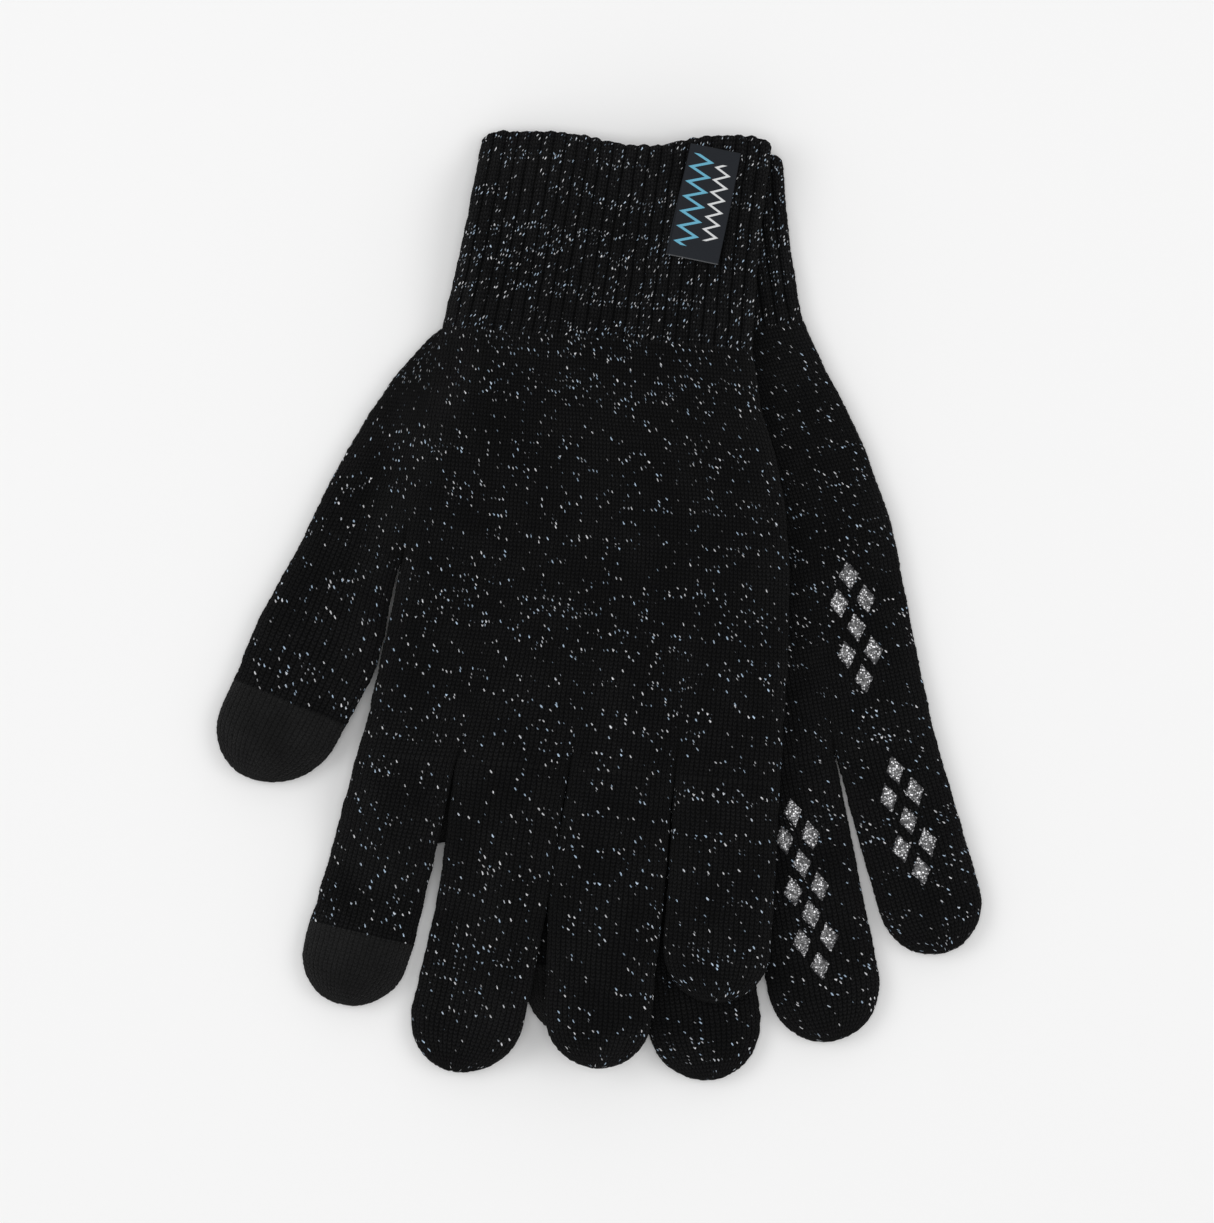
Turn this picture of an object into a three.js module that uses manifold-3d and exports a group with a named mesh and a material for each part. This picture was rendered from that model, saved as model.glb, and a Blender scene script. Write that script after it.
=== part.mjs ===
// A pair of knitted touchscreen gloves, laid palm to palm on a table. The right glove lies palm up on the
// table, and the left glove lies back up on top of it, turned a little, so that it drapes down to the table
// past the right glove's thumb side. Millimetres, +Z up, the table at z = 0, fingers towards -Y.
// The two gloves share one plan, because a left glove seen from its back has the outline of a right glove
// seen from its palm. In that plan u runs across the hand, positive towards the little finger, and v runs
// from the wrist, positive towards the fingertips and negative into the cuff.
import * as THREE from "three";
import { mergeVertices } from "three/addons/utils/BufferGeometryUtils.js";
import Module from "manifold-3d";

const wasm = await Module();
wasm.setup();

// ---- Driving dimensions ----
const THICK = 7.8; // one empty glove, from face to face
const WALL = 1.35; // the knitted fabric
const GAP = 0.35; // between pieces that meet
const STACK = THICK + 1.1; // how high the left glove lies where the right glove is under it
const FINGER_ROOT = 100; // v of the line where the four fingers start
const WRIST_HALF = 36.2; // half the glove's width at the wrist
const CUFF_SLIM = 0.3; // the rib is this much thinner than its welt, on each face
const WELT = 3.2; // length of the thick edge at the cuff's mouth
const DRAPE_START = 1; // the left glove stays level as far as this past the right glove's edge
const DRAPE_RUN = 17; // and it comes down to the table over this distance
const CUFF_WAIST = 0.7; // the cuff's edges are drawn in this much half way along
const BLEND_SIDE = 30; // a finger's cross-sections turn square to its axis over this length
const PAIR_SHIFT = new THREE.Vector2(-0.05, -0.1); // puts the origin under the middle of the pair

// The hand's thumb side in plan, as [v, u].
const THUMB_SIDE = [[0, -WRIST_HALF], [30, -39.4], [55, -40.9], [75, -44.2], [93, -47.2], [FINGER_ROOT, -49]];
// The thumb's gusset, from the wrist to the thumb's root, as [distance before the root, half width].
const GUSSET = [[51, 2], [40, 6], [28, 8.4], [14, 10.4], [0, 11.7]];
const THUMB_ROOT = [-52.6, 51.5];
const TOUCH_TIP = { thumb: 20, index: 17.5 }; // length of the cap knitted in conductive yarn
const FOUR = ["index", "middle", "ring", "little"];

// Where each glove lies, how it is turned, its edge on the little finger's side as [v, u], its cuff, and its
// fingers: where each root's middle is (u), the half widths at the root, half way and near the tip, its
// length, and how far it leans towards the little finger, in degrees.
const GLOVES = {
  right: {
    turn: 10.56,
    wrist: [11.74, 59.4],
    littleSide: [[0, WRIST_HALF], [11, 38.6], [21, 41.8], [31, 44.4], [50, 47.5], [80, 47.8], [FINGER_ROOT, 48.8]],
    cuff: { thumbEdge: -33.0, littleEdge: 38.4, length: 40.5, slope: 0, dip: 0 },
    fingers: {
      thumb: { u: THUMB_ROOT[0], half: [11.7, 14.4, 13.6], length: 55.5, lean: -18.2 },
      index: { u: -37.3, half: [11.7, 12.2, 12.9], length: 57.0, lean: -9.2 },
      middle: { u: -12.2, half: [12.9, 12.4, 12.9], length: 69.8, lean: -4.4 },
      ring: { u: 12.95, half: [12.0, 12.6, 12.9], length: 66.0, lean: -0.3 },
      little: { u: 37.0, half: [11.8, 12.5, 12.6], length: 50.5, lean: 5.4 },
    },
  },
  left: {
    turn: -4.24,
    wrist: [-0.58, 61.74],
    littleSide: [[0, WRIST_HALF], [14, 39.3], [24, 43.4], [36, 46.5], [50, 48.6], [70, 49.7], [FINGER_ROOT, 50]],
    cuff: { thumbEdge: -29.9, littleEdge: 36.6, length: 48.0, slope: 0.05, dip: 3.2 },
    fingers: {
      thumb: { u: THUMB_ROOT[0], half: [11.7, 14.6, 13.9], length: 59.5, lean: -18.2 },
      index: { u: -37.3, half: [11.7, 12.2, 12.9], length: 59.8, lean: -9.6 },
      middle: { u: -12.2, half: [12.9, 12.7, 13.2], length: 72.8, lean: -5.8 },
      ring: { u: 13.2, half: [12.0, 12.7, 12.8], length: 69.2, lean: -1.0 },
      little: { u: 37.8, half: [12.2, 12.2, 12.4], length: 52.0, lean: 0.3 },
    },
  },
};

const GRIP = { width: 4.3, length: 7.0, pitch: 6.05, spread: 3.15, thick: 0.4 };
const LABEL = { width: 11.8, length: 27.3, thick: 0.7, u: 22.5, v: -33.1, lean: -7.3 };

// ---- Materials ----
const material = (color, roughness, metalness) => new THREE.MeshStandardMaterial({ color, roughness, metalness });
const MATERIALS = {
  knit: material(0x101012, 0.95, 0),
  rib: material(0x111113, 0.95, 0),
  touch: material(0x1b1b1c, 1, 0),
  grip: material(0x9a9da3, 0.45, 0.4),
  label: material(0x232326, 0.8, 0),
};

// ---- Plan geometry ----
const radians = THREE.MathUtils.degToRad;
const heading = (degrees) => [Math.sin(radians(degrees)), Math.cos(radians(degrees))];
const smooth = (x, from, to) => THREE.MathUtils.smoothstep(x, from, to);

// The value at x of a line through points [x, value].
function along(points, x) {
  const next = points.findIndex(([at]) => at >= x);
  if (next <= 0) return next === 0 ? points[0][1] : points[points.length - 1][1];
  const [[x0, y0], [x1, y1]] = [points[next - 1], points[next]];
  return THREE.MathUtils.lerp(y0, y1, (x - x0) / (x1 - x0));
}

function toWorld(glove, u, v) {
  const [s, c] = heading(glove.turn);
  const x = glove.wrist[0] + PAIR_SHIFT.x + u * c + v * s;
  const y = glove.wrist[1] + PAIR_SHIFT.y + u * s - v * c;
  return [x, y];
}

function toPlan(glove, x, y) {
  const [s, c] = heading(glove.turn);
  const dx = x - glove.wrist[0] - PAIR_SHIFT.x;
  const dy = y - glove.wrist[1] - PAIR_SHIFT.y;
  return [dx * c + dy * s, dx * s - dy * c];
}

function fingerOf(glove, name) {
  return { ...glove.fingers[name], v: name === "thumb" ? THUMB_ROOT[1] : FINGER_ROOT };
}

// A finger's half width at a distance along it.
function halfWidth(finger, s) {
  const [root, middle, tip] = finger.half;
  const share = s / finger.length;
  return THREE.MathUtils.lerp(root, middle, smooth(share, 0, 0.45)) + (tip - middle) * smooth(share, 0.45, 0.75);
}

// The cuff's two edges at a distance back from the wrist: a straight taper, drawn in a little half way.
function cuffSpan(cuff, back) {
  const share = Math.min(Math.max(back / cuff.length, 0), 1);
  const waist = CUFF_WAIST * Math.sin(Math.PI * share);
  const low = THREE.MathUtils.lerp(-WRIST_HALF, cuff.thumbEdge, share) + waist;
  const high = THREE.MathUtils.lerp(WRIST_HALF, cuff.littleEdge, share) - waist;
  return [low, high];
}

const weltEdge = (cuff, u) => -cuff.length - cuff.slope * u + cuff.dip * Math.exp(-(((u - 7) / 12) ** 2));

// How far a plan point is outside the hand and cuff, negative inside.
function outsideHand(glove, u, v) {
  const [low, high] = v > 0 ? [along(THUMB_SIDE, v), along(glove.littleSide, v)] : cuffSpan(glove.cuff, -v);
  return Math.max(low - u, u - high, v - FINGER_ROOT, weltEdge(glove.cuff, u) - v);
}

// How far a plan point is outside a finger, or outside the thumb and its gusset.
function outsideFinger(glove, name, u, v) {
  const f = fingerOf(glove, name);
  const [du, dv] = heading(f.lean);
  const start = name === "thumb" ? -GUSSET[1][0] : 0;
  const s = Math.min(Math.max((u - f.u) * du + (v - f.v) * dv, start), f.length - f.half[2]);
  const before = GUSSET.map(([d, w]) => [-d, w]);
  const half = s < 0 ? along(before, s) : halfWidth(f, s);
  return Math.hypot(u - f.u - s * du, v - f.v - s * dv) - half;
}

// The height that the left glove's underside lies at: on the right glove, falling to the table past its edge.
function drape(x, y) {
  const [u, v] = toPlan(GLOVES.right, x, y);
  const fingers = ["thumb", ...FOUR].map((name) => outsideFinger(GLOVES.right, name, u, v));
  const outside = Math.min(outsideHand(GLOVES.right, u, v), ...fingers);
  return STACK * (1 - smooth(outside, DRAPE_START, DRAPE_START + DRAPE_RUN));
}

const underside = { right: () => 0, left: drape };

// ---- Solids ----
// A cross-section's points, as [t, lift]: t runs across it from -1 to 1, and lift is the share of the half
// thickness there. A finger's section is round, and the hand's is flat in the middle.
function outline(across, lift) {
  const top = across.map((t) => [t, lift(t)]);
  const bottom = across.slice(1, -1).reverse().map((t) => [t, -lift(t)]);
  return [...top, ...bottom];
}
const mirrored = (half) => [...half, ...half.slice(0, -1).reverse().map((t) => -t)];
const ROUND = outline(mirrored([1, 0.93, 0.74, 0.4, 0]), (t) => Math.sqrt(1 - Math.abs(t) ** 3));
const flat = (half) => outline(mirrored(half), (t) => (Math.abs(t) < 0.6 ? 1 : Math.sqrt(1 - Math.abs(t) ** 8)));
const FLAT = {
  right: flat([1, 0.98, 0.93, 0.82, 0.5, 0]),
  left: flat([1, 0.98, 0.94, 0.86, 0.74, 0.6, 0.45, 0.3, 0.15, 0]),
};

// The ring of one cross-section: place(t) gives its plan point, and half its half thickness.
function ring(hand, form, half, place) {
  return form.map(([t, lift]) => {
    const [x, y] = toWorld(GLOVES[hand], ...place(t));
    return new THREE.Vector3(x, y, underside[hand](x, y) + THICK / 2 + lift * half);
  });
}

// A closed solid through rings of equal count, with flat ends.
function loft(rings) {
  const count = rings[0].length;
  const points = rings.flat();
  const faces = [];
  for (let i = 0; i + 1 < rings.length; i++)
    for (let k = 0; k < count; k++) {
      const [a, b] = [i * count + k, i * count + ((k + 1) % count)];
      faces.push(a, b, b + count, a, b + count, a + count);
    }
  for (const [first, turned] of [[0, false], [(rings.length - 1) * count, true]])
    for (let k = 0; k < count / 2; k++) {
      const [a, b, c, d] = [k, k + 1, count - k - 1, (count - k) % count].map((n) => first + n);
      for (const [p, q, r] of [[a, b, c], [a, c, d]])
        if (p !== q && q !== r && r !== p) faces.push(p, turned ? q : r, turned ? r : q);
    }
  return solid(new THREE.BufferGeometry().setFromPoints(points).setIndex(faces));
}

// A closed geometry as a solid, with its faces turned out.
function solid(geometry) {
  for (const name of ["normal", "uv"]) geometry.deleteAttribute(name);
  const merged = mergeVertices(geometry);
  const vertProperties = merged.attributes.position.array;
  const triVerts = new Uint32Array(merged.index.array);
  const made = new wasm.Manifold(new wasm.Mesh({ numProp: 3, vertProperties, triVerts }));
  if (made.volume() > 0) return made;
  triVerts.reverse();
  return new wasm.Manifold(new wasm.Mesh({ numProp: 3, vertProperties, triVerts }));
}

function geometryOf(manifold) {
  const mesh = manifold.getMesh();
  const geometry = new THREE.BufferGeometry();
  geometry.setAttribute("position", new THREE.BufferAttribute(new Float32Array(mesh.vertProperties), 3));
  geometry.setIndex(new THREE.BufferAttribute(new Uint32Array(mesh.triVerts), 1));
  return geometry;
}

const pair = new THREE.Group();

function add(name, shape, finish) {
  const geometry = shape.isBufferGeometry ? shape : geometryOf(shape);
  const mesh = new THREE.Mesh(geometry, MATERIALS[finish]);
  mesh.name = name;
  pair.add(mesh);
  return mesh;
}

// ---- A finger or thumb ----
// One solid from distance `from` to `to` along the finger. `inset` shrinks it by the fabric, for the hollow.
function fingerSolid(hand, name, from, to, inset) {
  const f = fingerOf(GLOVES[hand], name);
  const dir = heading(f.lean);
  const square = [dir[1], -dir[0]];
  const rootSide = name === "thumb" ? square : [1, 0];
  const end = f.length - inset;
  const dome = f.half[2] + 1 - inset;
  const domeStart = end - dome;
  const inDome = [0, 0.34, 0.6, 0.8, 0.93, 0.992].map((share) => domeStart + share * dome);
  const last = Math.min(to, inDome[5]);
  const between = [0, 14, 28, 40].filter((s) => s < domeStart - 5).concat(inDome);
  const stops = [from, ...between.filter((s) => s > from + 1 && s < last - 0.5), last];
  const rings = stops.map((s) => {
    const turned = smooth(s, 0, BLEND_SIDE);
    const side = [0, 1].map((i) => THREE.MathUtils.lerp(rootSide[i], square[i], turned));
    const share = Math.min(Math.max((s - domeStart) / dome, 0), 1);
    const wide = (halfWidth(f, s) - inset) * Math.sqrt(1 - share ** 2.1);
    const thick = (THICK / 2 - inset) * (1 - share ** 3) ** 0.4;
    return ring(hand, ROUND, thick, (t) => [0, 1].map((i) => [f.u, f.v][i] + s * dir[i] + t * wide * side[i]));
  });
  return loft(rings);
}

function addFinger(hand, name) {
  const f = fingerOf(GLOVES[hand], name);
  const cap = TOUCH_TIP[name] ?? 0;
  const whole = [f.length, f.length - WALL];
  const hollow = fingerSolid(hand, name, -2, whole[1], WALL);
  const split = f.length - cap;
  const stall = fingerSolid(hand, name, GAP, cap ? split : whole[0], 0);
  add(`${hand}_${name}_stall`, stall.subtract(hollow), "knit");
  if (cap) {
    const tip = fingerSolid(hand, name, split + GAP, whole[0], 0);
    add(`${hand}_${name}_touch_tip`, tip.subtract(fingerSolid(hand, name, split - 4, whole[1], WALL)), "touch");
  }
}

// ---- The hand, its thumb gusset and the cuff ----
function handSolid(hand, from, to, inset) {
  const steps = [10, 20, 30, 40, 50, 60, 70, 80, 90];
  const stops = [from, ...(from < 0 ? [0] : []), ...steps, to];
  const rings = stops.map((v) => {
    const low = along(THUMB_SIDE, v) + inset;
    const high = along(GLOVES[hand].littleSide, v) - inset;
    const place = (t) => [(low + high) / 2 + (t * (high - low)) / 2, v];
    return ring(hand, FLAT[hand], THICK / 2 - inset, place);
  });
  return loft(rings);
}

function gussetSolid(hand, beyond, inset) {
  const dir = heading(GLOVES[hand].fingers.thumb.lean);
  const stops = [...GUSSET, ...(beyond ? [[-beyond, GUSSET[4][1]]] : [])];
  const rings = stops.map(([before, half]) => {
    const at = THUMB_ROOT.map((c, i) => c - before * dir[i]);
    const wide = Math.max(half - inset, 0.9);
    return ring(hand, ROUND, THICK / 2 - inset, (t) => [at[0] + t * wide * dir[1], at[1] - t * wide * dir[0]]);
  });
  return loft(rings);
}

function addHand(hand) {
  const outer = handSolid(hand, 0, FINGER_ROOT, 0).add(gussetSolid(hand, 0, 0));
  const hollow = handSolid(hand, -2, FINGER_ROOT + 2, WALL).add(gussetSolid(hand, 3, WALL));
  add(`${hand}_hand_tube`, outer.subtract(hollow), "knit");
}

// A band of the cuff. `near` and `far` give the v of its two ends at a given u.
function cuffBand(hand, near, far, half, inset, steps) {
  const cuff = GLOVES[hand].cuff;
  const rings = [];
  for (let i = 0; i <= steps; i++) {
    const place = (t) => {
      const across = (back) => {
        const [low, high] = cuffSpan(cuff, back);
        return (low + high) / 2 + t * ((high - low) / 2 - inset);
      };
      const guess = across(cuff.length / 2);
      const v = THREE.MathUtils.lerp(near(guess), far(guess), i / steps);
      return [across(-v), v];
    };
    rings.push(ring(hand, FLAT[hand], half - inset, place));
  }
  return loft(rings);
}

function addCuff(hand) {
  const cuff = GLOVES[hand].cuff;
  const edge = (u) => weltEdge(cuff, u);
  const weltStart = (u) => edge(u) + WELT;
  const wrist = () => -GAP;
  const hollow = cuffBand(hand, () => 3, (u) => edge(u) - 3, THICK / 2, WALL, 5);
  const rib = cuffBand(hand, wrist, (u) => weltStart(u) + GAP, THICK / 2 - CUFF_SLIM, 0, 5);
  const welt = cuffBand(hand, weltStart, edge, THICK / 2, 0, 1);
  add(`${hand}_cuff_rib`, rib.subtract(hollow), "rib");
  add(`${hand}_cuff_welt`, welt.subtract(hollow), "rib");
}

// ---- Label and grip prints ----
function addLabel() {
  const plate = new THREE.BoxGeometry(LABEL.width, LABEL.length, LABEL.thick);
  const mesh = add("left_cuff_label", plate, "label");
  const [x, y] = toWorld(GLOVES.left, LABEL.u, LABEL.v);
  mesh.position.set(x, y, STACK + THICK + GAP + LABEL.thick / 2);
  mesh.rotation.z = radians(GLOVES.left.turn + LABEL.lean);
}

// A column of printed diamonds, in rows of one and two by turns, from (u, v) along `lean`.
function addGrips(name, u, v, lean, rows) {
  const { width, length, pitch, spread, thick } = GRIP;
  const kite = new THREE.Shape([[0, -length / 2], [width / 2, 0], [0, length / 2], [-width / 2, 0]]
    .map((p) => new THREE.Vector2(...p)));
  const dir = heading(lean);
  let number = 0;
  for (let row = 0; row < rows; row++)
    for (const side of row % 2 ? [-spread, spread] : [0]) {
      const at = [u + row * pitch * dir[0] + side * dir[1], v + row * pitch * dir[1] - side * dir[0]];
      const [x, y] = toWorld(GLOVES.right, ...at);
      const plate = new THREE.ExtrudeGeometry(kite, { depth: thick, bevelEnabled: false });
      const mesh = add(`${name}_grip_${++number}`, plate, "grip");
      mesh.position.set(x, y, THICK + GAP);
      mesh.rotation.z = radians(GLOVES.right.turn + lean);
    }
}

// ---- The pair ----
for (const hand of ["right", "left"]) {
  addHand(hand);
  addCuff(hand);
  for (const name of ["thumb", ...FOUR]) addFinger(hand, name);
}
addLabel();
addGrips("right_palm", 35.8, 60.2, -2.2, 5);
addGrips("right_ring", 12.9, 111.9, -0.5, 7);
addGrips("right_little", 38.1, 106.6, 4.0, 5);

export default pair;
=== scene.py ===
"""A pair of black knitted touchscreen gloves, laid palm to palm on a pale table.

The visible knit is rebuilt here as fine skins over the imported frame's solids. Each glove is laid out in its
own plan, the same one the solids use: u runs across the hand, positive towards the little finger, and v runs
from the wrist, positive towards the fingertips and negative into the cuff. Lengths in the plan are millimetres.
"""

import math

import bmesh  # noqa: E402
import bpy  # noqa: E402
import numpy as np  # noqa: E402
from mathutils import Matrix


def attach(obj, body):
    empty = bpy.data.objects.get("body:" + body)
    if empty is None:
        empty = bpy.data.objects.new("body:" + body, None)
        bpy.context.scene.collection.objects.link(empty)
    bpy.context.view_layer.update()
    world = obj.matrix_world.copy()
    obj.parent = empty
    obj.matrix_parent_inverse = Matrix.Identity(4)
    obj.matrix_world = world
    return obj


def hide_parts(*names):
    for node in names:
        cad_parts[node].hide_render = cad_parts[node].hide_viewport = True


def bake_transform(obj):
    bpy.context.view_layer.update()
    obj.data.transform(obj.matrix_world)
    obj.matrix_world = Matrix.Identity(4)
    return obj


MM = 0.001

# ---- The gloves' plan, in millimetres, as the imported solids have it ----
THICK = 7.8  # one empty glove, from face to face
WALL = 1.35  # the knitted fabric
STACK = THICK + 0.6  # how high the left glove lies where the right glove is under it, knit on knit
FINGER_ROOT = 100.0  # v of the line where the four fingers start
CROTCH = 55.15  # v where the thumb leaves the palm
WRIST_HALF = 36.2
CUFF_WAIST = 0.7
DRAPE_START = 1.0  # the left glove stays level as far as this past the right glove's edge
DRAPE_RUN = 17.0  # and it comes down to the table over this distance
THUMB_SIDE = [(0, -36.2), (30, -39.4), (55, -40.9), (75, -44.2), (93, -47.2), (100, -49)]
GUSSET = [(51, 2), (40, 6), (28, 8.4), (14, 10.4), (0, 11.7)]
THUMB_ROOT = np.array([-52.6, 51.5])
THUMB_LEAN = -18.2
TOUCH_TIP = {"thumb": 20.0, "index": 17.5}
FOUR = ["index", "middle", "ring", "little"]
BLEND_SIDE = 30.0  # a finger's cross-sections turn square to its axis over this length
ROUND_OFF = 9.0  # an outline's corners are rounded off over this length
ROUND_STEP = 0.25

# Each finger has half widths at its root, half way and near its tip, a length, a lean towards the little
# finger in degrees, and a bow: how far its middle and its tip are off its straight axis.
GLOVES = {
    "right": {
        "turn": 10.56,
        "wrist": (11.69, 59.3),
        "little_side": [(0, 36.4), (11, 39.1), (21, 42.3), (31, 44.9), (50, 48.0), (80, 48.2), (100, 48.8)],
        "roots": [-48.6, -25.3, 0.8, 25.15, 48.8],
        "cuff": {"thumb_edge": -33.0, "little_edge": 38.8, "length": 40.0, "slope": 0.0, "dip": 0.0},
        "fingers": {
            "thumb": {"half": (11.7, 14.4, 13.6), "length": 55.5, "lean": THUMB_LEAN, "bow": (0.7, -2.7)},
            "index": {"half": (11.7, 12.2, 12.6), "length": 55.6, "lean": -9.2, "bow": (0.0, 0.9)},
            "middle": {"half": (12.9, 12.4, 13.2), "length": 70.1, "lean": -4.4, "bow": (0.0, 0.5)},
            "ring": {"half": (12.0, 12.6, 13.1), "length": 66.3, "lean": -0.3, "bow": (0.0, 0.0)},
            "little": {"half": (11.8, 12.0, 12.0), "length": 51.0, "lean": 5.4, "bow": (-0.1, 0.2)},
        },
    },
    "left": {
        "turn": -4.24,
        "wrist": (-0.63, 61.64),
        "little_side": [(0, 36.2), (14, 39.3), (24, 43.4), (36, 46.5), (50, 48.6), (70, 49.7), (100, 50)],
        "roots": [-48.5, -25.3, 0.95, 25.4, 50.0],
        "cuff": {"thumb_edge": -29.9, "little_edge": 37.2, "length": 48.0, "slope": 0.045, "dip": 3.0},
        "fingers": {
            "thumb": {"half": (11.7, 14.9, 14.0), "length": 60.0, "lean": THUMB_LEAN, "bow": (1.0, -2.2)},
            "index": {"half": (11.7, 12.0, 12.4), "length": 60.0, "lean": -9.6, "bow": (0.1, -1.4)},
            "middle": {"half": (12.9, 12.8, 13.1), "length": 73.1, "lean": -5.8, "bow": (1.0, -1.2)},
            "ring": {"half": (12.0, 13.3, 12.6), "length": 69.0, "lean": -1.1, "bow": (-0.9, 0.2)},
            "little": {"half": (12.2, 12.4, 12.5), "length": 51.8, "lean": 0.3, "bow": (0.3, 0.3)},
        },
    },
}

# ---- Knit ----
FINGER_COLUMNS = 48  # columns of the fine mesh across one face of a finger, two to a wale
COURSE = 0.92  # height of a stitch
ROW = COURSE / 2  # spacing of the fine mesh's rows
WALE_RELIEF = 0.09
COURSE_RELIEF = 0.05
RIBS = 24  # ribs across one face of a cuff
RIB_RELIEF = 0.9
UNEVEN = 0.1  # how far the hand-loose knit strays from its plan
LOFT_UNEVEN = 0.12  # and how far its surface strays in height
SEED = 11
TIP_END = 0.02  # the last ring of a finger stops this short of its end
TIP_CLOSED = 0.9995  # and a finger's dome is taken as closed at this share of its length
CORNER = 1.6  # the rim is rounded off this far at its two corners
SCALLOP = 0.28  # each rib ends in a small curl of this depth
WELD = 0.004  # points closer than this are one point

# Where each piece starts in the knit, in stitches, so that no two pieces have the same flecks.
KNIT_START = {
    "right": {"hand": 2700, "cuff": 7400, "fingers": 300},
    "left": {"hand": 4200, "cuff": 6000, "fingers": 1300},
}
NEXT_FINGER = 101
LOWER_FACE = 700

GRIP = {"width": 4.6, "length": 7.3, "height": 0.42, "rim": -0.05, "foot": 0.12}
GRIP_PITCH = 6.05  # from row to row
GRIP_SPREAD = 3.15  # a pair's diamonds are this far off the column's line
GRIP_POINTS = 15  # along each side of a diamond
LABEL = {"width": 11.8, "length": 26.4, "u": 22.5, "v": -32.6, "lean": -7.3, "thick": 0.16}
LABEL_LAYERS = (0.42, 0.74)  # the heights of the folded label's two layers over the cuff

TABLE_SIZE = 3.0
VIEW_WIDTH = 0.2823  # the camera's view at the gloves' height
VIEW_CENTRE = (0.0017, -0.0017)
VIEW_HEIGHT = 0.008
CAMERA_DISTANCE = 1.6
SENSOR = 36.0


def smooth(x, start, end):
    t = np.clip((np.asarray(x, float) - start) / (end - start), 0, 1)
    return t * t * (3 - 2 * t)


def lerp(a, b, t):
    return a + (b - a) * t


def rounded(points):
    """A line through (x, y) points as a function of x, with its corners rounded off."""
    xs, ys = np.array(points, float).T
    fine = np.arange(xs[0] - 20, xs[-1] + 20, ROUND_STEP)
    first, last = (ys[1] - ys[0]) / (xs[1] - xs[0]), (ys[-1] - ys[-2]) / (xs[-1] - xs[-2])
    line = np.interp(fine, xs, ys)
    line = np.where(fine < xs[0], ys[0] + (fine - xs[0]) * first, line)
    line = np.where(fine > xs[-1], ys[-1] + (fine - xs[-1]) * last, line)
    window = np.hanning(int(ROUND_OFF / ROUND_STEP) | 1)
    line = np.convolve(line, window / window.sum(), "same")
    return lambda x: np.interp(x, fine, line)


thumb_side = rounded(THUMB_SIDE)
for glove in GLOVES.values():
    glove["little_edge"] = rounded(glove["little_side"])


def heading(degrees):
    return np.array([math.sin(math.radians(degrees)), math.cos(math.radians(degrees))])


def axes(lean):
    """The directions along a leaning strip of the plan and square across it."""
    direction = heading(lean)
    return direction, direction[::-1] * [1, -1]


def to_world(hand, u, v):
    glove = GLOVES[hand]
    s, c = heading(glove["turn"])
    return glove["wrist"][0] + u * c + v * s, glove["wrist"][1] + u * s - v * c


def to_plan(hand, x, y):
    glove = GLOVES[hand]
    s, c = heading(glove["turn"])
    dx, dy = x - glove["wrist"][0], y - glove["wrist"][1]
    return dx * c + dy * s, dx * s - dy * c


def finger_of(hand, name):
    finger = dict(GLOVES[hand]["fingers"][name])
    if name == "thumb":
        finger["at"] = THUMB_ROOT
        finger["root_side"] = axes(THUMB_LEAN)[1]
    else:
        roots = GLOVES[hand]["roots"]
        i = FOUR.index(name)
        finger["at"] = np.array([(roots[i] + roots[i + 1]) / 2, FINGER_ROOT])
        finger["half"] = ((roots[i + 1] - roots[i]) / 2, *finger["half"][1:])
        finger["root_side"] = np.array([1.0, 0.0])
    return finger


def half_width(finger, s):
    root, middle, tip = finger["half"]
    share = np.asarray(s, float) / finger["length"]
    return lerp(root, middle, smooth(share, 0, 0.45)) + (tip - middle) * smooth(share, 0.45, 0.75)


def domed(finger, s):
    """At s along a finger: how far round its end's dome it is, its half width, and its share of the thickness."""
    dome = finger["half"][2] + 1
    share = np.clip((s - (finger["length"] - dome)) / dome, 0, TIP_CLOSED)
    return share, half_width(finger, s) * np.sqrt(1 - share**2.1), (1 - share**3) ** 0.4


def bowed(finger, s):
    """How far a finger's middle is off its straight axis at s along it."""
    middle, tip = finger["bow"]
    share = np.clip(np.asarray(s, float) / finger["length"], 0, 1)
    return middle * smooth(share, 0, 0.45) + (tip - middle) * share**3


def cuff_span(hand, back):
    cuff = GLOVES[hand]["cuff"]
    share = np.clip(back / cuff["length"], 0, 1.1)
    waist = CUFF_WAIST * np.sin(np.pi * np.clip(share, 0, 1))
    low = lerp(-WRIST_HALF, cuff["thumb_edge"], share) + waist
    high = lerp(WRIST_HALF, cuff["little_edge"], share) - waist
    return low, high


def rim(hand, u):
    cuff = GLOVES[hand]["cuff"]
    return -cuff["length"] - cuff["slope"] * u + cuff["dip"] * np.exp(-(((u - 7) / 12) ** 2))


def outside_right_glove(x, y):
    """How far points are outside the right glove's outline, negative inside."""
    glove = GLOVES["right"]
    u, v = to_plan("right", x, y)
    low_cuff, high_cuff = cuff_span("right", -v)
    low = np.where(v > 0, thumb_side(v), low_cuff)
    high = np.where(v > 0, glove["little_edge"](v), high_cuff)
    outside = np.maximum.reduce([low - u, u - high, v - FINGER_ROOT, rim("right", u) - v])
    before = [(-d, w) for d, w in GUSSET]
    for name in ["thumb", *FOUR]:
        f = finger_of("right", name)
        direction = heading(f["lean"])
        along = (u - f["at"][0]) * direction[0] + (v - f["at"][1]) * direction[1]
        s = np.clip(along, -GUSSET[1][0] if name == "thumb" else 0, f["length"] - f["half"][2])
        half = np.where(s < 0, np.interp(s, *zip(*before)), half_width(f, s))
        away = np.hypot(u - f["at"][0] - s * direction[0], v - f["at"][1] - s * direction[1]) - half
        outside = np.minimum(outside, away)
    return outside


def underside(hand, x, y):
    """The height that a glove's underside lies at."""
    if hand == "right":
        return np.zeros_like(x)
    return STACK * (1 - smooth(outside_right_glove(x, y), DRAPE_START, DRAPE_START + DRAPE_RUN))


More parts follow.
